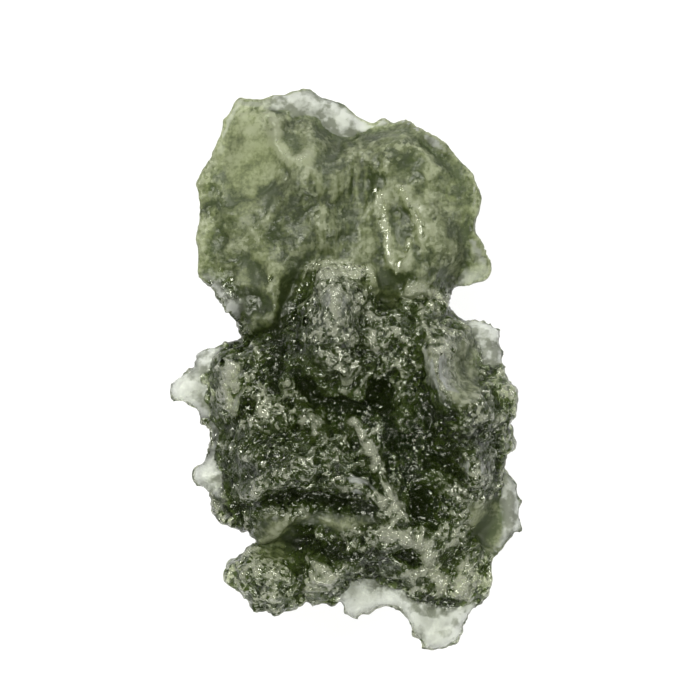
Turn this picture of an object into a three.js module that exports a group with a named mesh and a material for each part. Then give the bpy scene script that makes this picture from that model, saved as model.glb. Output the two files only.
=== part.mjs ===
// Moldavite: one piece of natural green glass, etched by the ground it lay in.
// It lies on its back with its display side up. Millimetres, +Z up, X across the stone, Y along it.
// The origin is under the middle of its bounding box, on the surface that it lies on.

import * as THREE from "three";
import { ImprovedNoise } from "three/addons/math/ImprovedNoise.js";
import { mergeVertices } from "three/addons/utils/BufferGeometryUtils.js";

// Heights above the surface that the stone lies on
const NOSE_TOP = 8.9;
const BOSS_TOP = 8.4;
const SHOULDER_TOP = 8.1;
const KNUCKLE_TOP = 7.2;
const TIER_TOP = 7.0;
const APRON_TOP = 5.6;
const UPPER_TOP = 4.9;
const WORN = -0.3; // the domes underneath would reach this low, and are worn flat at zero

// Height of the rim, where the two sides meet: lower around the head than around the foot
const HEAD_RIM = { height: 2.4, y: 5 };
const FOOT_RIM = { height: 3.9, y: -2 };

// The rim: thin clear glass, thicker a little way in
const RIM_THICKNESS = 0.24;
const HORN_RIM = 1.3;
const FOOT_SIDE_RIM = 2.0;
const LOBE_RIM = 2.6;
const BODY_RIM = 3.0;
const RIM_LEAN = { size: 2.5, share: 0.42, even: 0.4 }; // a blunt edge is undercut here more, there less
const FIN_THICKNESS = 0.9;
const FIN_EDGE = 0.9; // how far in from the rim a fin has its full thickness

// Steps across and along the stone
const ACROSS = 34;
const ALONG = 60;
const CAP = 0.22; // share of the length over which the rows bend to follow the two ends
const SIDE = 0.3; // share of the width over which the rows bend to meet the two sides
const ROW_EVENING = 0.09; // share of the length over which the spacing of the rows is evened out

// Surface relief
const SWELL = { size: 3.6, height: 0.7 };
const LUMP = { size: 1.5, height: 0.35 };
const DRIFT = { size: 2.2, reach: 0.35, inFrom: 2 }; // sideways wander of the surface, none at the rim
const UNDER_LAYER = 9.4; // the underside takes its relief from another layer of the same noise
const RIM_WAVE = { size: 5, height: 0.8 };
const RELIEF_RISE = 2.2; // the relief has its full height this far above the rim
const SCALLOP = { pitch: 1.8, radius: [0.9, 1.7], depth: [0.25, 0.8] };
const SEED = 11;

// Exponents of the step from the rim up to a mass
const ROUND = 0.5;
const EASED = 0.65;
const SLOPED = 1;

const GLASS = { color: 0x5c6a40, roughness: 0.25, metalness: 0 };

// The outline in plan, in four runs. Both sides go from the foot to the head, both ends from left to right.
const LEFT_SIDE = [
  [-4.6, -11.85], [-5.25, -11.1], [-5.65, -10.6], [-5.75, -10.1], [-5.6, -9.6], [-5.15, -9.2], [-4.5, -8.7],
  [-4.55, -8.4], [-4.8, -8.1], [-5.3, -7.95], [-5.9, -7.75], [-6.15, -7.4], [-6.45, -7.1], [-6.4, -6.7],
  [-6.9, -6.2], [-7.3, -5.8], [-7.5, -5.3], [-7.35, -4.9], [-6.85, -4.4], [-6.8, -4.0], [-6.7, -3.6],
  [-6.65, -3.1], [-7.05, -2.6], [-7.5, -2.0], [-7.9, -1.6], [-8.5, -1.5], [-8.8, -1.0], [-8.5, -0.6],
  [-7.95, -0.4], [-7.55, 0.0], [-7.45, 0.35], [-7.55, 0.65], [-7.3, 0.85], [-6.35, 1.0],
  [-5.35, 1.28], [-5.15, 1.6], [-5.35, 2.1], [-5.85, 2.7], [-6.5, 3.6], [-6.9, 4.2], [-7.5, 4.5],
  [-7.45, 5.1], [-7.25, 5.7], [-7.45, 6.4], [-7.35, 7.0], [-7.2, 7.6], [-7.3, 8.2], [-7.4, 8.9],
  [-7.45, 9.5], [-6.95, 10.2], [-6.5, 11.1], [-5.95, 12.6], [-5.65, 13.1], [-5.35, 13.6],
];
const RIGHT_SIDE = [
  [5.0, -13.85], [5.35, -13.55], [5.6, -13.3], [5.7, -12.95], [5.95, -12.6], [6.3, -12.1], [6.5, -11.8],
  [6.85, -11.5], [7.1, -11.1], [7.15, -10.6], [7.25, -10.0], [7.45, -9.5],
  [7.8, -9.0], [8.1, -8.6], [8.2, -8.3], [8.7, -8.0], [8.8, -7.5], [8.6, -7.0], [8.6, -6.3], [8.55, -5.8],
  [8.3, -5.3], [7.9, -5.1], [7.85, -4.6], [7.8, -4.2], [8.15, -4.1], [8.35, -3.8], [8.1, -3.4],
  [8.05, -2.9], [8.2, -2.5], [8.45, -2.2], [8.45, -1.7], [8.35, -1.3], [8.15, -0.8], [7.9, -0.4],
  [7.7, 0.0], [7.85, 0.4], [7.75, 1.0], [7.7, 1.7], [7.45, 2.0], [7.1, 2.1], [6.7, 2.25], [6.1, 2.35],
  [5.55, 2.5], [5.15, 2.7], [5.1, 3.2], [5.2, 3.7], [5.45, 4.0], [5.9, 4.2], [6.5, 4.3], [6.95, 4.42],
  [7.2, 4.65], [7.3, 5.2], [7.0, 5.8], [6.7, 6.3], [6.5, 6.8], [6.45, 7.4], [6.65, 8.1], [6.75, 8.5],
  [6.6, 9.0], [6.45, 9.5], [6.15, 9.9], [5.75, 10.3], [5.25, 11.0], [5.0, 11.3], [4.4, 11.7],
  [3.95, 11.85], [3.45, 12.3], [2.95, 12.6],
];
const HEAD = [
  [-5.35, 13.6], [-4.85, 13.5], [-4.2, 13.5], [-3.6, 13.7], [-2.9, 13.7], [-2.35, 13.9], [-1.75, 13.9],
  [-1.1, 13.6], [-0.4, 13.3], [0.25, 12.9], [0.75, 12.5], [1.35, 12.2],
  [1.9, 12.5], [2.4, 12.25], [2.95, 12.6],
];
const FOOT = [
  [-4.6, -11.85], [-4.0, -12.1], [-3.4, -12.3], [-2.8, -12.0], [-2.3, -11.7], [-1.7, -11.5],
  [-1.2, -11.7], [-0.7, -11.8], [-0.3, -11.6], [0.05, -12.0], [0.45, -12.45],
  [0.8, -12.2], [1.25, -12.1], [1.9, -11.8], [2.5, -11.75], [2.85, -12.1], [3.15, -12.8], [3.6, -13.3],
  [4.0, -13.65], [4.3, -13.95], [5.0, -13.85],
];

// Stretches of the rim that end in a blunt broken edge: the middle in plan, reach and thickness there
const BLUNT_EDGES = [
  { at: [-7.6, 7.4], reach: 4.6, thickness: LOBE_RIM },
  { at: [-6.5, 3.8], reach: 2.2, thickness: LOBE_RIM },
  { at: [-5.2, 12.4], reach: 2.2, thickness: HORN_RIM },
  { at: [6.9, 8.4], reach: 3.8, thickness: LOBE_RIM },
  { at: [4.6, 11.4], reach: 2.2, thickness: LOBE_RIM },
  { at: [7.1, 4.9], reach: 1.6, thickness: HORN_RIM },
  { at: [8.5, -2.2], reach: 2.6, thickness: BODY_RIM },
  { at: [-6.7, -3.4], reach: 1.0, thickness: FOOT_SIDE_RIM },
  { at: [-6.2, -7.4], reach: 1.4, thickness: FOOT_SIDE_RIM },
  { at: [-5.4, -10.8], reach: 1.5, thickness: FOOT_SIDE_RIM },
  { at: [-2.9, -11.9], reach: 2.0, thickness: FOOT_SIDE_RIM },
  { at: [7.2, -10.2], reach: 1.5, thickness: FOOT_SIDE_RIM },
];

// The masses that stand up on the display side: outline in plan, height, width of the step up to it
const MASSES = [
  {
    // the broad upper lobe
    outline: [
      [-5.5, 13.4], [-4.0, 13.3], [-2.9, 13.0], [-1.5, 12.4], [-0.9, 11.9], [-0.3, 11.5], [0.8, 11.8],
      [2.9, 12.4], [4.9, 11.2], [6.5, 9.4], [6.6, 8.3], [6.3, 7.0], [6.3, 5.6], [5.1, 3.8], [5.0, 2.4],
      [-5.0, 1.2], [-5.6, 2.7],
      [-7.2, 4.8], [-7.2, 8.2], [-7.2, 9.5], [-6.2, 11.6],
    ],
    top: UPPER_TOP, step: 2.2, edge: EASED,
  },
  {
    // the core of the lower body
    outline: [
      [-5.1, 1.0], [-6.1, 0.3], [-6.2, -2.6], [-6.3, -4.0], [-5.7, -5.6], [-5.8, -7.4], [-4.5, -8.6],
      [-2.0, -10.4], [4.5, -10.2], [7.1, -8.2], [7.5, -6.2], [7.6, -4.2], [8.2, -2.0], [6.9, 0.3],
      [6.0, 2.0], [5.1, 2.6], [4.9, 3.6], [-2.0, 3.8], [-3.6, 1.8],
    ],
    top: TIER_TOP, step: 2.6, edge: ROUND,
  },
  {
    // the nose, the slab that stands out in the middle
    outline: [
      [-1.9, 5.3], [-0.6, 5.35], [0.3, 5.0], [0.9, 5.1], [1.4, 4.1], [1.1, 3.0], [1.5, 1.6], [1.4, -0.6],
      [0.4, -1.8], [-1.2, -1.5], [-2.4, -0.4], [-3.2, 1.6], [-2.4, 3.4],
    ],
    top: NOSE_TOP, step: 1.9, edge: SLOPED,
  },
  {
    // the left boss
    outline: [
      [-6.5, -3.2], [-4.2, -2.5], [-2.0, -2.2], [0.4, -2.3], [1.2, -3.4], [2.2, -5.2], [2.8, -7.4],
      [1.6, -7.8], [-0.8, -7.1], [-2.6, -7.0], [-4.6, -7.6], [-6.0, -7.2], [-5.7, -5.7], [-6.4, -4.0],
    ],
    top: BOSS_TOP, step: 2.1, edge: SLOPED,
  },
  {
    // the right boss
    outline: [
      [2.7, 3.7], [5.0, 3.8], [5.1, 2.6], [6.0, 1.8], [6.7, 0.2], [8.1, -1.2], [8.3, -2.4], [7.8, -4.2],
      [7.6, -5.8], [6.4, -6.6], [5.2, -6.0], [3.6, -4.6], [2.7, -2.0], [2.3, 1.0],
    ],
    top: SHOULDER_TOP, step: 2.2, edge: SLOPED,
  },
  {
    // the left knuckle
    outline: [
      [-6.6, 0.4], [-5.8, 0.9], [-4.8, 0.6], [-4.6, -1.0], [-4.6, -2.6], [-6.0, -3.2], [-6.5, -2.4],
      [-6.6, -0.8],
    ],
    top: KNUCKLE_TOP, step: 1.2, edge: ROUND,
  },
  {
    // the lower left lump
    outline: [
      [-4.4, -8.7], [-5.4, -9.5], [-5.65, -10.2], [-5.3, -11.0], [-4.4, -11.7], [-3.4, -12.2], [-2.7, -11.7],
      [-1.6, -10.5], [-2.0, -9.0], [-3.2, -8.2],
    ],
    top: TIER_TOP, step: 1.7, edge: ROUND,
  },
  {
    // the ledge across the foot
    outline: [
      [-2.8, -8.0], [-2.6, -11.4], [-1.3, -11.4], [-0.5, -11.1], [0.1, -10.4], [1.4, -10.2], [3.6, -10.9],
      [4.3, -10.2], [3.6, -8.4], [2.0, -7.6],
    ],
    top: TIER_TOP, step: 1.6, edge: ROUND,
  },
  {
    // the apron at the lower right
    outline: [
      [2.9, -11.3], [4.0, -11.9], [5.2, -12.1], [6.1, -11.7], [6.9, -10.8], [7.1, -9.6], [7.5, -8.5],
      [7.5, -7.0], [7.0, -6.0], [5.0, -7.5], [3.5, -9.5],
    ],
    top: APRON_TOP, step: 1.5, edge: ROUND,
  },
  {
    // the knob on the apron
    outline: [[4.6, -7.5], [5.6, -7.1], [6.5, -7.9], [6.3, -9.0], [5.2, -9.3], [4.5, -8.4]],
    top: KNUCKLE_TOP, step: 1.5, edge: SLOPED,
  },
];

// The two domes underneath
const BELLIES = [
  {
    outline: [
      [-5.1, 12.8], [-2.2, 12.2], [-0.5, 11.2], [1.5, 11.4], [3.0, 11.6], [6.0, 9.2], [6.2, 7.0], [5.6, 4.6],
      [4.6, 1.0], [-4.8, 1.0], [-6.6, 5.0], [-6.8, 9.4],
    ],
    bottom: WORN, step: 3.8, edge: EASED,
  },
  {
    outline: [
      [-5.0, 2.0], [-6.0, 0.2], [-6.0, -3.4], [-5.6, -5.6], [-5.8, -7.0], [-4.6, -8.8], [-4.6, -11.2],
      [-3.0, -11.8], [-0.6, -11.0], [0.4, -10.2], [2.6, -10.5], [4.6, -11.6], [6.4, -10.6], [7.0, -8.0],
      [7.6, -1.8], [6.0, 1.8], [4.8, 3.4],
    ],
    bottom: WORN, step: 4.8, edge: ROUND,
  },
];

// Hollows placed by hand: the middle in plan, radius and depth
const HOLLOWS = [
  { at: [2.1, 3.7], radius: 1.0, depth: 0.8 }, // between the nose and the right boss
  { at: [-4.0, -0.3], radius: 1.4, depth: 1.0 }, // behind the left knuckle
  { at: [2.0, -1.0], radius: 1.2, depth: 1.3 }, // below the nose, on the right
  { at: [-0.4, -2.0], radius: 0.9, depth: 1.2 }, // under the tip of the nose
  { at: [4.6, -3.4], radius: 2.4, depth: 1.0 }, // the wide dish of the right boss
  { at: [0.3, -4.8], radius: 1.2, depth: 0.9 },
  { at: [-3.6, -4.2], radius: 1.8, depth: 0.9 },
  { at: [4.1, -7.1], radius: 1.4, depth: 1.3 },
  { at: [-2.6, -8.9], radius: 1.5, depth: 1.4 }, // the clear shelf at the lower left
  { at: [1.0, -10.6], radius: 0.9, depth: 1.3 },
  { at: [3.9, -11.7], radius: 0.9, depth: 0.9 },
  { at: [5.5, -11.7], radius: 0.8, depth: 0.7 },
  { at: [5.9, 0.0], radius: 1.5, depth: 1.5 }, // the clear pane below the right ear
  { at: [-4.5, 10.0], radius: 2.9, depth: 1.0 }, // the thin clear pane of the upper lobe
  { at: [-6.0, 6.6], radius: 1.4, depth: 0.6 },
  { at: [2.6, 7.0], radius: 1.8, depth: 0.6 },
  { at: [7.0, -8.1], radius: 1.3, depth: 1.4 }, // the clear pane at the lower right
];
const UNDER_HOLLOWS = [
  { at: [-4.5, 9.9], radius: 3.2, depth: 1.1 }, // the other side of the pane
  { at: [4.0, 8.6], radius: 2.6, depth: 0.7 },
  { at: [-2.2, 1.6], radius: 2.4, depth: 1.0 }, // the waist between the two domes
  { at: [6.0, -0.2], radius: 2.0, depth: 2.6 }, // behind the clear pane below the right ear
  { at: [-3.2, -8.8], radius: 2.2, depth: 2.6 }, // behind the clear shelf at the lower left
];

const noise = new ImprovedNoise();
const clamp01 = (t) => THREE.MathUtils.clamp(t, 0, 1);
const bump = ({ size }, x, y, layer) => noise.noise(x / size, y / size, layer);

// A step up from 0 to 1 with a rounded shoulder: a quarter of a circle, or a slope for an exponent of 1.
const shoulder = (t, edge) => (1 - (1 - clamp01(t)) ** 2) ** edge;

const curveThrough = (points) =>
  new THREE.CatmullRomCurve3(points.map(([x, y]) => new THREE.Vector3(x, y, 0)));

const left = curveThrough(LEFT_SIDE);
const right = curveThrough(RIGHT_SIDE);
const head = curveThrough(HEAD);
const foot = curveThrough(FOOT);
const WHOLE_OUTLINE = [...FOOT, ...RIGHT_SIDE, ...HEAD.toReversed(), ...LEFT_SIDE.toReversed()];

// How far a point in plan lies inside a closed outline, negative outside it.
function inset(outline, x, y) {
  let nearest = Infinity;
  let inside = false;
  outline.forEach(([bx, by], i) => {
    const [ax, ay] = outline.at(i - 1);
    const length2 = (bx - ax) ** 2 + (by - ay) ** 2;
    const along = length2 ? clamp01(((x - ax) * (bx - ax) + (y - ay) * (by - ay)) / length2) : 0;
    nearest = Math.min(nearest, Math.hypot(x - ax - along * (bx - ax), y - ay - along * (by - ay)));
    if (by > y !== ay > y && x < ax + ((y - ay) / (by - ay)) * (bx - ax)) inside = !inside;
  });
  return inside ? nearest : -nearest;
}

// Shallow bowls in a jittered grid over the whole plan.
function scatterScallops() {
  const made = [];
  const random = (low, high) => THREE.MathUtils.lerp(low, high, THREE.MathUtils.seededRandom());
  const box = new THREE.Box2().setFromPoints(WHOLE_OUTLINE.map(([x, y]) => new THREE.Vector2(x, y)));
  for (let x = box.min.x; x < box.max.x; x += SCALLOP.pitch) {
    for (let y = box.min.y; y < box.max.y; y += SCALLOP.pitch) {
      const at = [x + random(0, SCALLOP.pitch), y + random(0, SCALLOP.pitch)];
      made.push({ at, radius: random(...SCALLOP.radius), depth: random(...SCALLOP.depth) });
    }
  }
  return made;
}

THREE.MathUtils.seededRandom(SEED);
const UPPER_BOWLS = [...HOLLOWS, ...scatterScallops()];
const UNDER_BOWLS = [...UNDER_HOLLOWS, ...scatterScallops()];

// The depth of the deepest bowl at a point in plan. Bowls that overlap meet in a sharp crest.
function bowlDepth(bowls, x, y) {
  const depths = bowls.map(({ at, radius, depth }) => {
    const share = Math.hypot(x - at[0], y - at[1]) / radius;
    return depth * (1 - share ** 2);
  });
  return Math.max(0, ...depths);
}

// The level of a row near one side of the stone: the mean of the outline there and of the rows near it.
function rowLevel(side, v) {
  const near = [-1, -0.75, -0.5, -0.25, 0, 0.25, 0.5, 0.75, 1].map((k) => clamp01(v + k * ROW_EVENING));
  return near.reduce((total, t) => total + side.getPoint(t).y, 0) / near.length;
}

// Share of the bend to the outline at u of the width in from a side: all of it at 0, none beyond SIDE.
const sideBend = (u) => clamp01(1 - (u / SIDE) ** 2) ** 2;

// A row of points that runs straight inside the stone and bends to its two ends on the outline.
function rowPoint(u, v) {
  const start = left.getPoint(v);
  const end = right.getPoint(v);
  const startLevel = rowLevel(left, v);
  const endLevel = rowLevel(right, v);
  const bendLeft = (start.y - startLevel) * sideBend(u);
  const bendRight = (end.y - endLevel) * sideBend(1 - u);
  const level = THREE.MathUtils.lerp(startLevel, endLevel, u);
  return start.lerp(end, u).setY(level + bendLeft + bendRight);
}

// A point in plan for u across the stone and v along it, both from 0 to 1.
function planPoint(u, v) {
  const toHead = head.getPoint(u).sub(rowPoint(u, 1));
  const toFoot = foot.getPoint(u).sub(rowPoint(u, 0));
  return rowPoint(u, v)
    .addScaledVector(toHead, THREE.MathUtils.smoothstep(v, 1 - CAP, 1))
    .addScaledVector(toFoot, THREE.MathUtils.smoothstep(1 - v, 1 - CAP, 1));
}

function rimThickness(x, y) {
  const blunt = BLUNT_EDGES.map(({ at, reach, thickness }) => {
    const share = Math.hypot(x - at[0], y - at[1]) / reach;
    return thickness * (1 - share ** 4);
  });
  return Math.max(RIM_THICKNESS, ...blunt);
}

// How far the underside stands back from the outline at a point on it.
function setBack({ x, y }) {
  const lean = clamp01(RIM_LEAN.even + 2 * bump(RIM_LEAN, x, y, 0));
  return RIM_LEAN.share * lean * (rimThickness(x, y) - RIM_THICKNESS);
}

// A point in plan on the underside, which is undercut at the blunt edges.
function underPoint(u, v) {
  const [west, east, south, north] = [planPoint(0, v), planPoint(1, v), planPoint(u, 0), planPoint(u, 1)];
  const across = west.distanceTo(east);
  const along = south.distanceTo(north);
  const inU = THREE.MathUtils.lerp(setBack(west) / across, 1 - setBack(east) / across, u);
  const inV = THREE.MathUtils.lerp(setBack(south) / along, 1 - setBack(north) / along, v);
  return planPoint(inU, inV);
}

function rimHeight(x, y) {
  const share = THREE.MathUtils.smoothstep(y, FOOT_RIM.y, HEAD_RIM.y);
  const level = THREE.MathUtils.lerp(FOOT_RIM.height, HEAD_RIM.height, share);
  return level + RIM_WAVE.height * bump(RIM_WAVE, x, y, 0);
}

// Half the least thickness of the glass at a point in plan that lies depthIn from the rim.
function finHalf(x, y, depthIn) {
  const edge = rimThickness(x, y);
  const inside = Math.max(edge, FIN_THICKNESS);
  return THREE.MathUtils.lerp(edge, inside, shoulder(depthIn / FIN_EDGE, ROUND)) / 2;
}

function relief(x, y, layer) {
  return SWELL.height * bump(SWELL, x, y, layer) + LUMP.height * bump(LUMP, x, y, layer);
}

// Height of the display side at a point in plan that lies depthIn from the rim.
function displayHeight(x, y, depthIn) {
  const rim = rimHeight(x, y);
  const least = rim + finHalf(x, y, depthIn);
  const tops = MASSES.map((mass) => {
    const share = shoulder(inset(mass.outline, x, y) / mass.step, mass.edge);
    return THREE.MathUtils.lerp(rim, mass.top, share);
  });
  const rough = Math.max(...tops);
  const inner = clamp01((rough - rim) / RELIEF_RISE);
  return Math.max(least, rough + inner * (relief(x, y, 0) - bowlDepth(UPPER_BOWLS, x, y)));
}

// Height of the underside, which is worn flat where it meets the resting surface.
function undersideHeight(x, y, depthIn) {
  const rim = rimHeight(x, y);
  const most = rim - finHalf(x, y, depthIn);
  const bottoms = BELLIES.map((belly) => {
    const share = shoulder(inset(belly.outline, x, y) / belly.step, belly.edge);
    return THREE.MathUtils.lerp(rim, belly.bottom, share);
  });
  const rough = Math.min(...bottoms);
  const inner = clamp01((rim - rough) / rim);
  const etched = rough + inner * (relief(x, y, UNDER_LAYER) + bowlDepth(UNDER_BOWLS, x, y));
  return Math.max(0, Math.min(most, etched));
}

// The stone: a block of fine steps drawn out to the outline, its two broad faces raised to their relief.
function moldaviteGeometry() {
  const block = new THREE.BoxGeometry(1, 1, 1, ACROSS, ALONG, 1);
  block.deleteAttribute("normal");
  block.deleteAttribute("uv");
  const geometry = mergeVertices(block);
  const position = geometry.attributes.position;
  for (let i = 0; i < position.count; i++) {
    const display = position.getZ(i) > 0;
    const pointOf = display ? planPoint : underPoint;
    const heightOf = display ? displayHeight : undersideHeight;
    const plan = pointOf(position.getX(i) + 0.5, position.getY(i) + 0.5);
    const depthIn = Math.max(0, inset(WHOLE_OUTLINE, plan.x, plan.y));
    const z = heightOf(plan.x, plan.y, depthIn);
    const drift = DRIFT.reach * clamp01(depthIn / DRIFT.inFrom);
    const x = plan.x + drift * bump(DRIFT, plan.x, plan.y, 0);
    const y = plan.y + drift * bump(DRIFT, plan.y, plan.x, UNDER_LAYER);
    position.setXYZ(i, x, y, z);
  }
  geometry.computeVertexNormals();
  geometry.computeBoundingBox();
  const { x, y, z } = geometry.boundingBox.getCenter(new THREE.Vector3()).setZ(geometry.boundingBox.min.z);
  return geometry.translate(-x, -y, -z);
}

const moldavite = new THREE.Mesh(moldaviteGeometry(), new THREE.MeshStandardMaterial(GLASS));
moldavite.name = "moldavite";

const part = new THREE.Group();
part.add(moldavite);

export default part;
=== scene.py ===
"""A moldavite, one stone of etched green natural glass, lying on its back and seen from straight above."""

import bpy
import numpy as np
from mathutils import Matrix, Vector, noise
from mathutils.bvhtree import BVHTree


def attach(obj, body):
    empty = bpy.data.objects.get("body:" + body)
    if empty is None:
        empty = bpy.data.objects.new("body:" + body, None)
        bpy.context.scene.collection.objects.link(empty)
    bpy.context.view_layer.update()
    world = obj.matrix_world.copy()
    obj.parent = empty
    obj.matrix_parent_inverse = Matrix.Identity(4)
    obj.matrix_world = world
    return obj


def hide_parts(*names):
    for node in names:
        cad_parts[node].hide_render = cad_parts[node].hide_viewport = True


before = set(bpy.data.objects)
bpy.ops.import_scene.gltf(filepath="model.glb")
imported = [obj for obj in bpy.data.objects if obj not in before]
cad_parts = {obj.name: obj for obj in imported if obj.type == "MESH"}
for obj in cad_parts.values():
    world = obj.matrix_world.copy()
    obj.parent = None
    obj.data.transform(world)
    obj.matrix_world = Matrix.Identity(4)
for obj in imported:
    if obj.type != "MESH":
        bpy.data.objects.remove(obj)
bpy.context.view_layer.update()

MM = 0.001

# Fine surface, in millimetres
VOXEL = 0.13
SMOOTHING_ROUNDS = 14
SMOOTHING_STEPS = (0.5, -0.52)
AVERAGING_STEP = 0.5
DISPLAY_LEVEL = 2.0  # the display side lies above this height
RAY_START = 0.02
NO_FAR_SIDE = 10.0
FULL_RELIEF_THICKNESS = 2.2
LEAST_RELIEF = 0.06

# Etched relief: the size of its features and how far they stand out, in millimetres
BROAD_SIZE, BROAD_HEIGHT = 1.5, 0.42
SMALL_SIZE, SMALL_HEIGHT = 0.62, 0.26
WRINKLE_SIZE, WRINKLE_HEIGHT = 0.9, 0.16
GRIT_SIZE, GRIT_HEIGHT = 0.28, 0.09
FLOW_SIZE, FLOW_HEIGHT = 0.26, 0.12
BOWL_LEVEL = 0.3

# Slow wander of the surface, and how far it bends each kind of feature
WANDER_SIZE = 1.8
WANDER_SHIFTS = (0.0, 31.7, 77.1)
BOWL_BEND = 0.45
FLOW_BEND = 0.25
CREST_BEND = 0.12
CLEAR_BEND = 0.5

# The upper lobe and the flow lines on it: from, to, and the soft margin outside them
LOBE_ALONG = (4.8, 20, 1.2)
LOBE_TOP = 6.2
LOBE_STEP = 0.8
LOBE_SMOOTHNESS = 0.6
FLOW_ACROSS = (-1.6, 2.0, 1.2)
FLOW_ALONG = (6.0, 9.5, 1.5)
FLOW_SQUEEZE = (0.08, 0.3)

# Etching of the skin, by the thickness of the glass and by the side
ETCHED_BY_BODY = (2, 0.3)
LEAST_ETCHING = 0.2
UNDER_ETCHING = 0.8
UNDER_FROM = (2.5, 0.5)

# Frost and painted light and shade by how far the surface stands out: fine crests and whole ledges are
# painted paler and the hollows between them darker, and the listed crests paler and grooves darker
CREST_ROUNDS = 30
CREST_HEIGHT = 0.12
LEDGE_ROUNDS = 240
LEDGE_HEIGHT = 0.7
LEDGE_SHADING = 0.6
FULL_CREST_MARK = 0.26
CREST_FROST_AND_SHADE = 0.62
CREST_REACH = 2.5
BREAK_SIZE = 0.5
BREAKS = (0.85, 0.6)

# Camera: the frame is 35 mm across at the stone's middle height, 20 pixels of the photograph to a millimetre
FRAME_MM = 35.0
LENS = 200.0
SENSOR = 36.0
AIM = (0.2, 0.925, 3.5)
NEAREST = 0.01

# Glass
IOR = 1.49
TRANSMISSION = 0.8
ABSORPTION_COLOR = (0.45, 0.495, 0.24, 1.0)
ABSORPTION_DENSITY = 730.0
FIN_SKIN = (0.92, 0.93, 0.97, 1)
FIN_SHADE = (0.20, 0.21, 0.18, 1)
BRIGHT_SKIN = (0.62, 0.66, 0.44, 1)
CLEAR_SKIN = (0.36, 0.40, 0.20, 1)
CLEAR_SHADE = (0.06, 0.085, 0.025, 1)
# Nearly black painted shade for the pits and hollows of the etched skin
PIT_SHADE_SKIN = (0.02, 0.03, 0.01, 1)
DARK_SKIN = (0.08, 0.12, 0.025, 1)
# Pale crests and grains of the etched skin, partly frost and partly painted highlight
PALE_FROST_AND_HIGHLIGHT = (0.98, 1.0, 0.86, 1)
UNDER_SKIN = (0.72, 0.77, 0.54, 1)
UNDER_SHADE = (0.16, 0.20, 0.09, 1)

# Markings in the skin: size in millimetres, detail, the range of noise that is read and what it becomes
MARKINGS = {
    "patches": {"size": 2.4, "detail": 2, "levels": (0.4, 0.6, 0.35, 1.2)},
    "grit": {"size": 0.45, "detail": 4, "levels": (0.3, 0.7, -0.5, 0.5)},
    "streaks": {"size": 0.24, "detail": 2, "levels": (0.3, 0.7, -0.7, 0.7), "stretch": (1, 0.07, 0.3)},
    "mottle": {"size": 0.9, "detail": 6, "levels": (0.35, 0.62, 0, 1)},
    "cloud": {"size": 2.6, "detail": 3, "levels": (0.35, 0.65, -0.6, 0.4)},
    "specks": {"size": 0.16, "detail": 3, "levels": (0.3, 0.7, -0.45, 0.45)},
    "spots": {"size": 0.7, "detail": 5, "levels": (0.42, 0.56, -0.1, 0.9)},
    "gloss": {"size": 0.8, "detail": 4, "levels": (0.35, 0.7, 0.06, 0.25)},
}
GRAIN = 0.18
GRAIN_LEVELS = (0.35, 0.7, -0.5, 0.6)
GRAINS_IN_CLEAR = 0.35

# Places of the factor, the two colours and the result among the sockets of a Mix node
MIX_COLOR_INPUTS = (0, 6, 7)
MIX_COLOR_OUTPUT = 2

# Where one skin gives way to the next, in the value that decides between them
PIT_SHADE_TO_DARK = (-0.4, 0.7, 0, 1)
DARK_TO_PALE = (0.8, 1.5, 0, 1)
CLEAR_TO_BRIGHT = (0.9, 1.7, 0, 1)
CLEAR_TO_FROSTED = (0.2, 0.9, 0, 1)
UNDER_SHADE_TO_SKIN = (0.1, 1.1, 0, 1)
FIN_TO_BODY = (0.35, 0.8, 0, 1)

# What the frost and the painted light and shade add to the clear skin and to the fins
FROST_AND_SHADE_IN_CLEAR = (0, 2, -0.6, 1.8)
FROST_AND_SHADE_IN_FINS = (0, 1.2, -0.3, 0.9)

# Gloss and fine bump, by how strongly the surface is etched
FACET_ROUGHNESS = 0.1
DULL_BY_ETCHING = (0.15, 0.8, 0.5, 0)
GRAIN_TILT = 1.2
GRAINS_BY_ETCHING = (0.35, 1, 0, 1)
RIPPLE = {"size": 0.24, "detail": 3}
RIPPLE_HEIGHT = 0.06
RIPPLE_BY_ETCHING = (0, 0.4, 0, 1)

# Softboxes around the stone, in metres and watts
LAMPS = {
    "key": {"location": (-0.14, 0.12, 0.22), "size": (0.12, 0.12), "power": 0.9},
    "fill": {"location": (0.2, 0.04, 0.18), "size": (0.1, 0.12), "power": 0.37},
    "low": {"location": (0.02, -0.2, 0.14), "size": (0.16, 0.09), "power": 0.43},
    "back": {"location": (0.06, 0.24, 0.09), "size": (0.16, 0.07), "power": 0.34},
}

# Brightness of the pale walls around the stone and of the ceiling, and how high the walls reach
WALL_AND_CEILING = (0.95, 0.15)
WALL_TOP = 0.35

# Light of the softboxes and the walls, with a little less blue than white light has
LIGHT_COLOR = (0.98, 1.0, 0.87)

# Floor: it glows, so that the light that comes up through the glass is even
FLOOR_REACH = 0.6
FLOOR_LEVEL = -0.02 * MM
FLOOR_COLOR = (0.15, 0.15, 0.15, 1)
FLOOR_ROUGHNESS = 0.9
FLOOR_GLOW = 0.9
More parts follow.
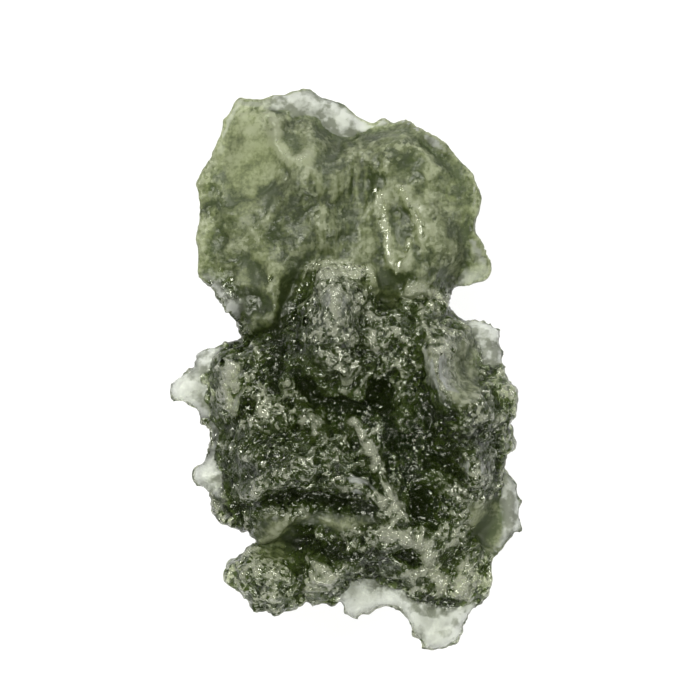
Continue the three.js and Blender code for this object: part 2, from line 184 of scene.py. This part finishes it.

# Crests and grooves on the display side, as points in plan, with how high and how wide they stand. Besides
# their shape, the crests are painted paler and the grooves darker with painted shade.
CRESTS = [
    (
        [(-7.2, 7.9), (-6.6, 8.25), (-5.9, 8.15), (-5.2, 8.5), (-4.6, 8.45), (-4.0, 8.9), (-3.5, 9.5)],
        -0.12,
        0.1,
    ),
    ([(-2.6, 4.2), (-3.2, 2.4), (-3.6, 0.6), (-3.6, -1.0)], -0.4, 0.35),
    ([(-2.6, -0.2), (-1.4, -1.6), (0.6, -1.9), (1.8, -1.0)], -0.5, 0.35),
    ([(1.6, -1.2), (2.2, -3.0), (3.0, -5.0), (3.8, -7.0)], -0.5, 0.4),
    ([(-6.0, -7.0), (-4.5, -6.7), (-2.6, -6.2), (-0.5, -6.5), (1.2, -7.0)], -0.4, 0.3),
    ([(-2.0, -8.6), (-0.2, -9.2), (1.8, -9.3), (3.2, -9.4)], -0.5, 0.35),
    ([(-3.85, 12.6), (-3.45, 12.05), (-3.45, 11.2), (-3.15, 10.8), (-2.65, 10.4), (-1.9, 10.5)], 0.2, 0.24),
    ([(-1.5, 5.3), (-0.7, 5.1), (0.1, 5.05), (0.5, 4.8)], 0.4, 0.3),
    (
        [(-1.2, 4.65), (-0.4, 4.7), (0.4, 4.6), (1.15, 4.9)]
        + [(1.55, 3.9), (1.1, 3.4), (1.2, 2.1), (1.45, 0.9)],
        0.3,
        0.22,
    ),
    ([(-2.0, 5.0), (-2.55, 3.4), (-3.05, 1.7)], 0.3, 0.25),
    ([(2.85, 3.8), (3.7, 3.9), (4.4, 3.65), (5.1, 3.3)], 0.35, 0.25),
    ([(0.45, -2.6), (1.3, -4.3), (1.95, -6.1), (2.7, -7.6)], 0.5, 0.35),
    ([(-4.4, -8.9), (-2.6, -7.1), (-0.9, -7.5), (0.9, -7.9), (2.7, -8.3)], 0.3, 0.24),
    ([(2.7, -8.3), (3.9, -8.6), (4.1, -9.7), (4.7, -10.6)], 0.45, 0.3),
    ([(1.62, 8.9), (1.73, 8.0), (1.9, 7.4), (2.03, 6.8), (2.06, 6.2), (2.2, 5.4)], 0.25, 0.22),
    ([(2.55, 9.1), (2.8, 8.9), (3.05, 8.3), (3.2, 7.9)], 0.2, 0.14),
    ([(3.45, 8.1), (3.75, 7.5), (3.85, 7.0), (3.7, 6.5)], 0.2, 0.26),
    ([(3.1, 6.4), (3.25, 5.65), (3.03, 5.2), (2.55, 4.8), (2.25, 5.3)], 0.2, 0.16),
]

# White fractures in the upper lobe: from, to, half width, how many facets, and the softbox that they mirror
FRACTURES = [
    ((1.65, 8.9), (2.0, 7.0), 0.16, 14, "key"),
    ((2.0, 7.0), (2.25, 5.2), 0.13, 12, "key"),
    ((2.75, 9.0), (3.35, 7.9), 0.1, 8, "key"),
    ((3.4, 8.2), (3.85, 6.6), 0.22, 14, "fill"),
    ((3.2, 6.3), (2.5, 4.9), 0.1, 8, "key"),
]

# Clusters of small facets: middle in plan, half sizes, how many
CLUSTERS = [
    ((0.0, -3.5), (7.0, 8.5), 50),
    ((-0.4, 4.9), (1.4, 0.45), 34),
    ((1.2, 3.2), (0.3, 1.6), 14),
    ((-0.4, 2.6), (1.6, 2.2), 24),
    ((-3.7, -2.1), (0.9, 0.5), 16),
    ((4.2, 0.4), (0.4, 0.9), 3),
    ((1.3, -3.6), (0.6, 1.4), 14),
    ((-1.8, -5.4), (0.9, 0.6), 10),
    ((4.0, 3.5), (1.0, 0.4), 22),
    ((5.6, -8.0), (0.7, 0.7), 12),
    ((4.2, -9.7), (0.5, 0.9), 12),
    ((-2.2, -10.6), (0.9, 0.4), 14),
    ((5.3, -10.6), (1.5, 1.0), 24),
    ((-3.6, -10.0), (1.4, 1.2), 14),
    ((1.2, -10.4), (0.8, 0.7), 12),
]
SEED = 7

# Small facets: half sizes in millimetres, and how far they turn out of the fracture's line in degrees
FRACTURE_SPREAD = 0.5
FRACTURE_LEAST_WIDTH = 0.05
FRACTURE_LENGTHS = (0.15, 0.4)
FRACTURE_TURN = 12
CLUSTER_SIZES = (0.07, 0.2)
FACET_LEAST_RISE = 0.2

# How an area fades out: its start and slope, by the distance from the middle in half sizes
FROST_AND_SHADE_FALL = (2, 1.4)
CLEAR_FALL = (2.2, 1.6)

# Areas where the skin is paler (a rise) and darker (a fall) than elsewhere: middle in plan, half sizes,
# change. The paler ones are frost, white fractures and pale patches; the darker ones are partly a darker
# skin and partly painted shade in hollows, valleys and pits.
FROST_AND_SHADE_AREAS = [
    ((-1.9, 10.4), (0.5, 0.7), 0.5),
    ((-2.6, 8.6), (1.4, 0.9), -0.5),
    ((-4.6, 5.9), (1.2, 0.6), 0.35),
    ((-6.6, 6.0), (0.7, 0.7), 0.15),
    ((5.8, 9.4), (0.8, 1.4), -0.2),
    ((5.6, 6.6), (0.9, 1.4), -0.15),
    ((-4.2, 3.6), (1.5, 1.6), -0.3),
    ((-6.6, 7.9), (0.9, 0.5), -0.5),
    ((2.7, 7.0), (0.9, 2.0), 0.3),
    ((1.85, 7.9), (0.3, 1.1), 0.8),
    ((2.1, 6.1), (0.26, 0.9), 0.8),
    ((3.6, 7.3), (0.4, 0.8), 0.8),
    ((3.0, 8.6), (0.26, 0.5), 0.7),
    ((2.8, 5.3), (0.5, 0.4), 0.6),
    # painted shade in the valley right of the clear pane
    ((-2.9, 8.6), (0.7, 1.3), -0.45),
    ((-0.5, 11.6), (0.8, 0.7), -0.4),
    ((2.6, 10.8), (1.2, 0.8), -0.3),
    ((-4.6, 10.3), (1.7, 2.3), 0.8),
    ((-0.3, 3.6), (1.7, 1.6), 0.35),
    ((-0.4, 4.95), (1.5, 0.4), 0.7),
    ((-2.7, 2.4), (0.5, 1.5), -0.5),
    ((3.9, 3.5), (1.3, 0.6), 0.5),
    ((5.2, -10.6), (1.6, 1.1), 0.45),
    ((5.8, 0.0), (0.9, 1.5), 0.6),
    # painted shadow in the hollow right of the central ridge
    ((4.4, -6.9), (1.2, 0.9), -0.4),
    ((1.0, -1.9), (0.6, 0.7), -0.6),
    ((-6.9, -5.5), (0.6, 1.0), 0.2),
    ((4.4, -12.9), (1.2, 0.9), 0.1),
    ((1.0, -11.7), (1.2, 0.7), 0.5),
    ((-2.0, 13.2), (2.0, 0.6), -0.6),
    ((7.3, 1.0), (0.5, 1.0), -0.6),
    ((8.3, -6.9), (0.5, 1.4), -0.6),
    ((-4.0, -10.0), (1.2, 1.2), 0.1),
    ((-1.8, -10.7), (0.9, 0.35), 0.7),
    ((-3.9, -2.1), (0.6, 0.4), 0.6),
    ((5.7, -8.0), (0.7, 0.7), 0.6),
    ((4.0, -9.7), (0.5, 1.0), 0.4),
    ((4.9, 1.4), (0.4, 0.7), 0.5),
    ((1.2, -4.4), (0.8, 2.2), -0.35),
    ((-5.8, -1.2), (0.7, 1.4), 0.2),
    ((-3.6, -4.4), (1.7, 1.1), -0.4),
    ((-0.7, -5.2), (0.9, 1.4), -0.25),
    # painted shade in the deep hollow right of the nose
    ((2.1, 3.8), (0.8, 0.9), -0.6),
    ((4.4, -3.4), (2.1, 2.2), -0.7),
    ((-3.4, 0.6), (1.2, 1.3), -0.5),
    ((0.6, -9.4), (1.6, 0.8), -0.25),
    ((-0.6, -7.5), (2.4, 0.5), -0.55),
    ((-3.4, -8.1), (0.9, 0.7), -0.15),
    # two pits in the apron near the lower edge, painted dark as shade
    ((3.95, -11.75), (0.5, 0.45), -1.5),
    ((5.15, -11.65), (0.4, 0.4), -1.5),
]

# Clear areas that the etching has left smooth: middle in plan, half sizes, how smooth
CLEAR = [
    ((-4.9, 10.2), (1.3, 2.1), 0.8),
    ((-4.1, 3.7), (1.4, 1.8), 0.5),
    ((2.1, 4.0), (0.8, 0.9), 0.6),
    ((7.2, -7.7), (0.8, 1.4), 0.8),
    ((5.8, -0.2), (0.8, 1.5), 0.6),
    ((-0.6, -7.5), (2.2, 0.4), 0.7),
    ((-3.3, -8.4), (1.1, 1.0), 0.65),
]


def fine_copy(node):
    """A copy of the node's mesh in millimetres, rebuilt as an even net of fine quads."""
    rough = node.data.copy()
    rough.transform(Matrix.Scale(1 / MM, 4) @ node.matrix_world)
    carrier = bpy.data.objects.new("carrier", rough)
    bpy.context.scene.collection.objects.link(carrier)
    remesh = carrier.modifiers.new("even", "REMESH")
    remesh.mode = "VOXEL"
    remesh.voxel_size = VOXEL
    bpy.context.view_layer.update()
    evaluated = carrier.evaluated_get(bpy.context.evaluated_depsgraph_get())
    fine = bpy.data.meshes.new_from_object(evaluated)
    fine.materials.clear()
    bpy.data.objects.remove(carrier)
    bpy.data.meshes.remove(rough)
    return fine


def coordinates(mesh):
    points = np.empty(len(mesh.vertices) * 3)
    mesh.vertices.foreach_get("co", points)
    return points.reshape(-1, 3)


def normals(mesh):
    mesh.update()
    directions = np.empty(len(mesh.vertices) * 3)
    mesh.vertex_normals.foreach_get("vector", directions)
    return directions.reshape(-1, 3)


def set_coordinates(mesh, points):
    mesh.vertices.foreach_set("co", points.ravel())
    mesh.update()


def relaxed(mesh, steps):
    """Vertex positions after steps by these shares of the way from each vertex to its neighbours' mean."""
    edges = np.empty(len(mesh.edges) * 2, dtype=int)
    mesh.edges.foreach_get("vertices", edges)
    a, b = edges.reshape(-1, 2).T
    points = coordinates(mesh)
    count = len(points)
    degree = np.bincount(a, minlength=count) + np.bincount(b, minlength=count)
    for step in steps:
        total = np.empty_like(points)
        for axis in range(3):
            column = points[:, axis]
            total[:, axis] = np.bincount(a, column[b], count) + np.bincount(b, column[a], count)
        points = points + step * (total / degree[:, None] - points)
    return points


def smoothed(mesh, rounds):
    """Vertex positions after pairs of a shrinking and a swelling pass, which keep the volume."""
    return relaxed(mesh, SMOOTHING_STEPS * rounds)


def averaged(mesh, rounds):
    """Vertex positions on a surface that runs through the middle of the fine relief."""
    return relaxed(mesh, (AVERAGING_STEP,) * rounds)


def thickness(mesh, points, directions):
    """Glass behind each point, straight in from the surface."""
    polygons = [tuple(p.vertices) for p in mesh.polygons]
    tree = BVHTree.FromPolygons([tuple(p) for p in points], polygons)
    result = np.empty(len(points))
    for i, (point, direction) in enumerate(zip(points, directions)):
        start = Vector(point - RAY_START * direction)
        distance = tree.ray_cast(start, Vector(-direction))[3]
        result[i] = NO_FAR_SIDE if distance is None else distance
    return result


def sampled(points, size):
    """Noise from -1 to 1 at each point, with features of about that size."""
    return np.array([noise.noise(Vector(p)) for p in points / size])


def band(values, low, high, soft):
    """1 between low and high, falling to 0 over the soft margin outside them."""
    return np.clip((values - low) / soft + 1, 0, 1) * np.clip((high - values) / soft + 1, 0, 1)


def near_area(plan, middle, half, fall):
    """1 in the middle of an oval area in plan, falling to 0 outside it."""
    away = np.linalg.norm((plan - np.array(middle)) / np.array(half), axis=1)
    start, slope = fall
    return np.clip(start - slope * away, 0, 1)


def frost_and_shade_change(plan):
    """Sum of the paler and darker areas at each point in plan, painted shade in hollows, valleys and pits
    among them.
    """
    total = np.zeros(len(plan))
    for middle, half, change in FROST_AND_SHADE_AREAS:
        total += change * near_area(plan, middle, half, FROST_AND_SHADE_FALL)
    return total


def clear_share(plan):
    """How smooth the clear areas are at each point in plan, 0 away from them."""
    best = np.zeros(len(plan))
    for middle, half, share in CLEAR:
        best = np.maximum(best, share * near_area(plan, middle, half, CLEAR_FALL))
    return best


def crest_height(plan):
    """Height that the crests add at each point in plan, less the depth of the grooves."""
    total = np.zeros(len(plan))
    for line, height, width in CRESTS:
        near = np.zeros(len(plan))
        for a, b in zip(np.array(line[:-1]), np.array(line[1:])):
            along = np.clip((plan - a) @ (b - a) / ((b - a) @ (b - a)), 0, 1)
            away = np.linalg.norm(plan - a - along[:, None] * (b - a), axis=1)
            near = np.maximum(near, np.clip(1 - away / (CREST_REACH * width), 0, 1) ** 2)
        total += height * near
    return total


def small_facets():
    """Facets a few tenths of a millimetre wide, along the fractures and strewn over the clusters."""
    random = np.random.default_rng(SEED)
    made = []
    for start, end, reach, count, lamp in FRACTURES:
        run = np.array(end) - np.array(start)
        along = random.uniform(0, 1, (count, 1))
        aside = random.normal(0, FRACTURE_SPREAD * reach, (count, 2))
        places = np.array(start) + along * run + aside
        widths = random.uniform(FRACTURE_LEAST_WIDTH, reach, count)
        lengths = random.uniform(*FRACTURE_LENGTHS, count)
        turns = np.degrees(np.arctan2(-run[0], run[1])) + random.normal(0, FRACTURE_TURN, count)
        made += zip(places, np.stack([widths, lengths], axis=1), turns, [lamp] * count)
    for middle, reach, count in CLUSTERS:
        places = np.array(middle) + random.uniform(-1, 1, (count, 2)) * np.array(reach)
        halves = random.uniform(*CLUSTER_SIZES, (count, 2))
        turns = random.uniform(0, 180, count)
        lamps = random.choice(list(LAMPS), count)
        made += zip(places, halves, turns, lamps)
    return made


def set_facets(points, directions):
    """Lays the points in each facet on a plane that mirrors its softbox upwards. Tells which they are."""
    faceted = np.zeros(len(points), dtype=bool)
    on_top = (directions[:, 2] > FACET_LEAST_RISE) & (points[:, 2] > DISPLAY_LEVEL)
    for middle, half, turn, lamp in small_facets():
        c, s = np.cos(np.radians(turn)), np.sin(np.radians(turn))
        away = points[:, :2] - np.array(middle)
        across = (away @ np.array((c, s))) / half[0]
        along = (away @ np.array((-s, c))) / half[1]
        inside = (across**2 + along**2 < 1) & on_top
        if not inside.any():
            continue
        to_lamp = np.array(LAMPS[lamp]["location"])
        lean = to_lamp / np.linalg.norm(to_lamp) + np.array((0, 0, 1))
        slope = -lean[:2] / lean[2]
        points[inside, 2] = np.median(points[inside, 2]) + away[inside] @ slope
        faceted |= inside
    return faceted


def flow_share(points):
    """1 where the flow lines of the upper lobe show, 0 away from them."""
    return band(points[:, 0], *FLOW_ACROSS) * band(points[:, 1], *FLOW_ALONG)


def lobe_share(points):
    """1 on the upper lobe, 0 away from it."""
    return band(points[:, 1], *LOBE_ALONG) * np.clip((LOBE_TOP - points[:, 2]) / LOBE_STEP, 0, 1)


def etching(points, wander):
    """How strongly the surface is etched: less on the upper lobe, and hardly at all where it is clear."""
    clear = clear_share(points[:, :2] + CLEAR_BEND * wander[:, :2]) * (points[:, 2] > DISPLAY_LEVEL)
    return (1 - LOBE_SMOOTHNESS * lobe_share(points)) * (1 - clear)


def etched_relief(points, directions, wander):
    """How far the etched surface stands out of the smooth one at each point, in millimetres."""
    x, y, z = points.T
    etched = etching(points, wander)
    bent = points + BOWL_BEND * wander

    def bowls(size):
        nearest = np.array([noise.voronoi(Vector(p))[0][0] for p in bent / size])
        return nearest**2 - BOWL_LEVEL

    wrinkles = 1 - 2 * np.abs(sampled(bent, WRINKLE_SIZE))
    grit = sampled(points, GRIT_SIZE)
    relief = BROAD_HEIGHT * bowls(BROAD_SIZE) + SMALL_HEIGHT * bowls(SMALL_SIZE)
    relief = etched * (relief + WRINKLE_HEIGHT * wrinkles + GRIT_HEIGHT * grit)

    along, down = FLOW_SQUEEZE
    flow = sampled(np.stack([x + FLOW_BEND * wander[:, 0], along * y, down * z], axis=1), FLOW_SIZE)
    relief += FLOW_HEIGHT * lobe_share(points) * etched * flow_share(points) * flow

    facing = np.clip(directions[:, 2] * 2, 0, 1) * (z > DISPLAY_LEVEL)
    relief += facing * crest_height(points[:, :2] + CREST_BEND * wander[:, :2])
    return relief


def skin_values(mesh, points, directions, wander, body, etched):
    """What the glass has to know at each point. The directions are those of the surface before etching. The
    frost value holds both frost and painted light and shade: paler on what stands out, darker with painted
    shade in hollows, grooves and pits.
    """
    outward = normals(mesh)
    stand = np.einsum("ij,ij->i", points - averaged(mesh, CREST_ROUNDS), outward) / CREST_HEIGHT
    ledge = (points - averaged(mesh, LEDGE_ROUNDS))[:, 2] * np.sign(outward[:, 2]) / LEDGE_HEIGHT

    rise = directions[:, 2]
    display = (points[:, 2] > DISPLAY_LEVEL) & (rise > 0)
    plan = points[:, :2] + CREST_BEND * wander[:, :2]
    clear = clear_share(plan)
    mean, swing = BREAKS
    broken = mean + swing * sampled(points, BREAK_SIZE)
    crests = display * np.clip(crest_height(plan) / FULL_CREST_MARK, -1, 1) * broken

    # Paler on fine crests and ledges, partly frost and partly painted light; darker with painted shade in
    # fine hollows and in the valleys between ledges. The listed areas and crests add their own marks.
    frost_and_shading = np.clip(0.5 + 0.5 * stand, 0, 1) + LEDGE_SHADING * np.clip(ledge, -1, 1)
    frost_and_shading += display * frost_and_shade_change(plan) + CREST_FROST_AND_SHADE * crests
    etched = np.where(rise < 0, UNDER_ETCHING * etched, etched)
    slope, start = UNDER_FROM
    return {
        "frost_and_shading": frost_and_shading,
        "etch": np.maximum(etched, crests * (1 - clear)),
        "flow": lobe_share(points) * flow_share(points),
        "body": np.maximum(body, display * clear),
        "under": np.clip(-slope * rise - start, 0, 1),
    }


def stone_mesh(node):
    """The node's shape with the etching cut into it, in metres, and the values of its skin."""
    mesh = fine_copy(node)
    set_coordinates(mesh, smoothed(mesh, SMOOTHING_ROUNDS))
    points = coordinates(mesh)
    directions = normals(mesh)
    wander = np.stack([sampled(points + shift, WANDER_SIZE) for shift in WANDER_SHIFTS], axis=1)
    body = np.clip(thickness(mesh, points, directions) / FULL_RELIEF_THICKNESS, LEAST_RELIEF, 1)
    slope, start = ETCHED_BY_BODY
    etched = etching(points, wander) * np.clip(slope * body - start, LEAST_ETCHING, 1)

    points = points + (body * etched_relief(points, directions, wander))[:, None] * directions
    faceted = set_facets(points, directions)
    points[:, 2] = np.maximum(points[:, 2], 0)
    set_coordinates(mesh, points)

    skin = skin_values(mesh, points, directions, wander, body, etched)
    skin["facet"] = faceted.astype(float)
    for name, values in skin.items():
        mesh.attributes.new(name, "FLOAT", "POINT").data.foreach_set("value", values)
    set_coordinates(mesh, points * MM)
    mesh.polygons.foreach_set("use_smooth", [True] * len(mesh.polygons))
    return mesh


def set_range(node, levels):
    """Sets a Map Range node: the lowest and highest value read, and what they become."""
    for name, number in zip(("From Min", "From Max", "To Min", "To Max"), levels):
        node.inputs[name].default_value = number


class Graph:
    """The nodes of one material, with a short way to add each kind."""

    def __init__(self, material):
        material.use_nodes = True
        self.nodes = material.node_tree.nodes
        self.links = material.node_tree.links
        self.place = self.nodes.new("ShaderNodeTexCoord").outputs["Object"]

    def feed(self, socket, value):
        """Links the socket to another node's output, or sets it to a plain value."""
        if isinstance(value, bpy.types.NodeSocket):
            self.links.new(value, socket)
        else:
            socket.default_value = value

    def texture(self, size, detail, stretch=(1, 1, 1)):
        mapping = self.nodes.new("ShaderNodeMapping")
        mapping.inputs["Scale"].default_value = stretch
        self.feed(mapping.inputs["Vector"], self.place)
        node = self.nodes.new("ShaderNodeTexNoise")
        node.inputs["Scale"].default_value = 1 / (size * MM)
        node.inputs["Detail"].default_value = detail
        self.feed(node.inputs["Vector"], mapping.outputs["Vector"])
        return node.outputs["Fac"]

    def grains(self, output):
        node = self.nodes.new("ShaderNodeTexVoronoi")
        node.inputs["Scale"].default_value = 1 / (GRAIN * MM)
        self.feed(node.inputs["Vector"], self.place)
        return node.outputs[output]

    def ramp(self, value, levels):
        node = self.nodes.new("ShaderNodeMapRange")
        set_range(node, levels)
        self.feed(node.inputs["Value"], value)
        return node.outputs["Result"]

    def marking(self, name):
        texture = dict(MARKINGS[name])
        levels = texture.pop("levels")
        return self.ramp(self.texture(**texture), levels)

    def attribute(self, name):
        node = self.nodes.new("ShaderNodeAttribute")
        node.attribute_name = name
        return node.outputs["Fac"]

    def mix(self, factor, first, second):
        node = self.nodes.new("ShaderNodeMix")
        node.data_type = "RGBA"
        for place, value in zip(MIX_COLOR_INPUTS, (factor, first, second)):
            self.feed(node.inputs[place], value)
        return node.outputs[MIX_COLOR_OUTPUT]

    def math(self, operation, first, second):
        node = self.nodes.new("ShaderNodeMath")
        node.operation = operation
        for socket, value in zip(node.inputs, (first, second)):
            self.feed(socket, value)
        return node.outputs["Value"]

    def total(self, first, *others):
        for other in others:
            first = self.math("ADD", first, other)
        return first

    def vector(self, operation, first, second):
        node = self.nodes.new("ShaderNodeVectorMath")
        node.operation = operation
        for socket, value in zip(node.inputs, (first, second)):
            self.feed(socket, value)
        return node.outputs["Value" if operation == "DOT_PRODUCT" else "Vector"]


def skin_color(graph, etched):
    """Where the skin is etched: pits darkened with painted shade, and pale crests that are partly frost and
    partly painted highlight. Olive windows where it is clear, white fins.
    """
    relief = graph.attribute("frost_and_shading")
    grit = graph.marking("grit")
    grains = graph.ramp(graph.grains("Color"), GRAIN_LEVELS)
    grains = graph.math("MULTIPLY", grains, graph.marking("patches"))

    # Lowest values give the painted shade of pits, highest the pale crests and grains, partly frost and
    # partly painted highlight
    frost_and_shading = graph.total(relief, grains, grit)
    dark = graph.mix(graph.ramp(frost_and_shading, PIT_SHADE_TO_DARK), PIT_SHADE_SKIN, DARK_SKIN)
    frosted_and_shaded = graph.mix(graph.ramp(frost_and_shading, DARK_TO_PALE), dark, PALE_FROST_AND_HIGHLIGHT)

    lines = graph.math("MULTIPLY", graph.marking("streaks"), graph.attribute("flow"))
    fine = graph.math("MULTIPLY", grains, GRAINS_IN_CLEAR)
    cloud = graph.total(graph.marking("cloud"), fine, graph.marking("specks"))
    shade = graph.total(graph.marking("mottle"), cloud, lines, graph.ramp(relief, FROST_AND_SHADE_IN_CLEAR))
    clear = graph.mix(shade, CLEAR_SHADE, CLEAR_SKIN)
    clear = graph.mix(graph.ramp(shade, CLEAR_TO_BRIGHT), clear, BRIGHT_SKIN)

    # Random stains on the fins, darkened further by the painted shade in the frost value
    stain_and_shade = graph.total(graph.marking("spots"), grit, graph.ramp(relief, FROST_AND_SHADE_IN_FINS))
    fin = graph.mix(stain_and_shade, FIN_SHADE, FIN_SKIN)

    below = graph.mix(graph.ramp(frost_and_shading, UNDER_SHADE_TO_SKIN), UNDER_SHADE, UNDER_SKIN)
    skin = graph.mix(graph.ramp(etched, CLEAR_TO_FROSTED), clear, frosted_and_shaded)
    skin = graph.mix(graph.attribute("under"), skin, below)
    return graph.mix(graph.ramp(graph.attribute("body"), FIN_TO_BODY), fin, skin)


def skin_roughness(graph, etched, off_facets):
    """Dull where the skin is hardly etched, glossier where it is, and glossiest on the small facets."""
    dull = graph.total(graph.marking("gloss"), graph.ramp(etched, DULL_BY_ETCHING))
    return graph.math("MAXIMUM", graph.math("MULTIPLY", dull, off_facets), FACET_ROUGHNESS)


def skin_normal(graph, etched, off_facets):
    """Each grain is a tiny flat face tilted its own way, with ripples over all. Small facets stay flat."""
    from_middle = graph.vector("SUBTRACT", graph.place, graph.grains("Position"))
    tilt = graph.vector("SUBTRACT", graph.grains("Color"), (0.5, 0.5, 0.5))
    faces = graph.math("MULTIPLY", graph.vector("DOT_PRODUCT", from_middle, tilt), GRAIN_TILT)
    faces = graph.math("MULTIPLY", faces, graph.ramp(etched, GRAINS_BY_ETCHING))
    ripple = graph.math("MULTIPLY", graph.texture(**RIPPLE), RIPPLE_HEIGHT * MM)
    ripple = graph.math("MULTIPLY", ripple, graph.ramp(etched, RIPPLE_BY_ETCHING))
    bump = graph.nodes.new("ShaderNodeBump")
    bump.inputs["Strength"].default_value = 1.0
    bump.inputs["Distance"].default_value = 1.0
    graph.feed(bump.inputs["Height"], graph.math("MULTIPLY", graph.total(faces, ripple), off_facets))
    return bump.outputs["Normal"]


def glass_material():
    """Clear olive green glass: plain transmission, plain absorption, an etched skin of varying gloss."""
    material = bpy.data.materials.new("etched_green_glass")
    graph = Graph(material)
    shader = graph.nodes["Principled BSDF"]
    shader.inputs["Transmission Weight"].default_value = TRANSMISSION
    shader.inputs["IOR"].default_value = IOR
    etched = graph.attribute("etch")
    off_facets = graph.ramp(graph.attribute("facet"), (0, 1, 1, 0))
    graph.feed(shader.inputs["Base Color"], skin_color(graph, etched))
    graph.feed(shader.inputs["Roughness"], skin_roughness(graph, etched, off_facets))
    graph.feed(shader.inputs["Normal"], skin_normal(graph, etched, off_facets))

    absorption = graph.nodes.new("ShaderNodeVolumeAbsorption")
    absorption.inputs["Color"].default_value = ABSORPTION_COLOR
    absorption.inputs["Density"].default_value = ABSORPTION_DENSITY
    graph.feed(graph.nodes["Material Output"].inputs["Volume"], absorption.outputs["Volume"])
    return material


def add_stone(node):
    stone = bpy.data.objects.new("stone", stone_mesh(node))
    bpy.context.scene.collection.objects.link(stone)
    stone.data.materials.append(glass_material())
    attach(stone, "root")
    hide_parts("moldavite")


def add_floor():
    mesh = bpy.data.meshes.new("floor")
    square = ((-1, -1), (1, -1), (1, 1), (-1, 1))
    corners = [(x * FLOOR_REACH, y * FLOOR_REACH, FLOOR_LEVEL) for x, y in square]
    mesh.from_pydata(corners, [], [(0, 1, 2, 3)])
    floor = bpy.data.objects.new("floor", mesh)
    bpy.context.scene.collection.objects.link(floor)
    material = bpy.data.materials.new("pale_floor")
    material.use_nodes = True
    shader = material.node_tree.nodes["Principled BSDF"]
    shader.inputs["Base Color"].default_value = FLOOR_COLOR
    shader.inputs["Roughness"].default_value = FLOOR_ROUGHNESS
    shader.inputs["Emission Color"].default_value = (1, 1, 1, 1)
    shader.inputs["Emission Strength"].default_value = FLOOR_GLOW
    mesh.materials.append(material)


def add_light(name, location, size, power):
    data = bpy.data.lights.new(name, "AREA")
    data.shape = "ELLIPSE"
    data.size, data.size_y = size
    data.energy = power
    data.color = LIGHT_COLOR
    light = bpy.data.objects.new(name, data)
    light.location = location
    light.rotation_euler = (-Vector(location)).to_track_quat("-Z", "Y").to_euler()
    bpy.context.scene.collection.objects.link(light)


def add_world():
    """Pale walls near the horizon and a darker ceiling."""
    world = bpy.data.worlds.new("studio")
    world.use_nodes = True
    nodes, links = world.node_tree.nodes, world.node_tree.links
    place = nodes.new("ShaderNodeTexCoord")
    split = nodes.new("ShaderNodeSeparateXYZ")
    rise = nodes.new("ShaderNodeMapRange")
    set_range(rise, (0, WALL_TOP, *WALL_AND_CEILING))
    links.new(place.outputs["Generated"], split.inputs["Vector"])
    links.new(split.outputs["Z"], rise.inputs["Value"])
    links.new(rise.outputs["Result"], nodes["Background"].inputs["Strength"])
    nodes["Background"].inputs["Color"].default_value = (*LIGHT_COLOR, 1)
    bpy.context.scene.world = world


def add_camera():
    data = bpy.data.cameras.new("camera")
    data.sensor_width = SENSOR
    data.lens = LENS
    data.clip_start = NEAREST
    camera = bpy.data.objects.new("camera", data)
    x, y, z = AIM
    camera.location = (x * MM, y * MM, (z + FRAME_MM * LENS / SENSOR) * MM)
    bpy.context.scene.collection.objects.link(camera)
    bpy.context.scene.camera = camera


add_stone(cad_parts["moldavite"])
add_floor()
for name, lamp in LAMPS.items():
    add_light(name, **lamp)
add_world()
add_camera()
bpy.context.scene.view_settings.view_transform = "Standard"
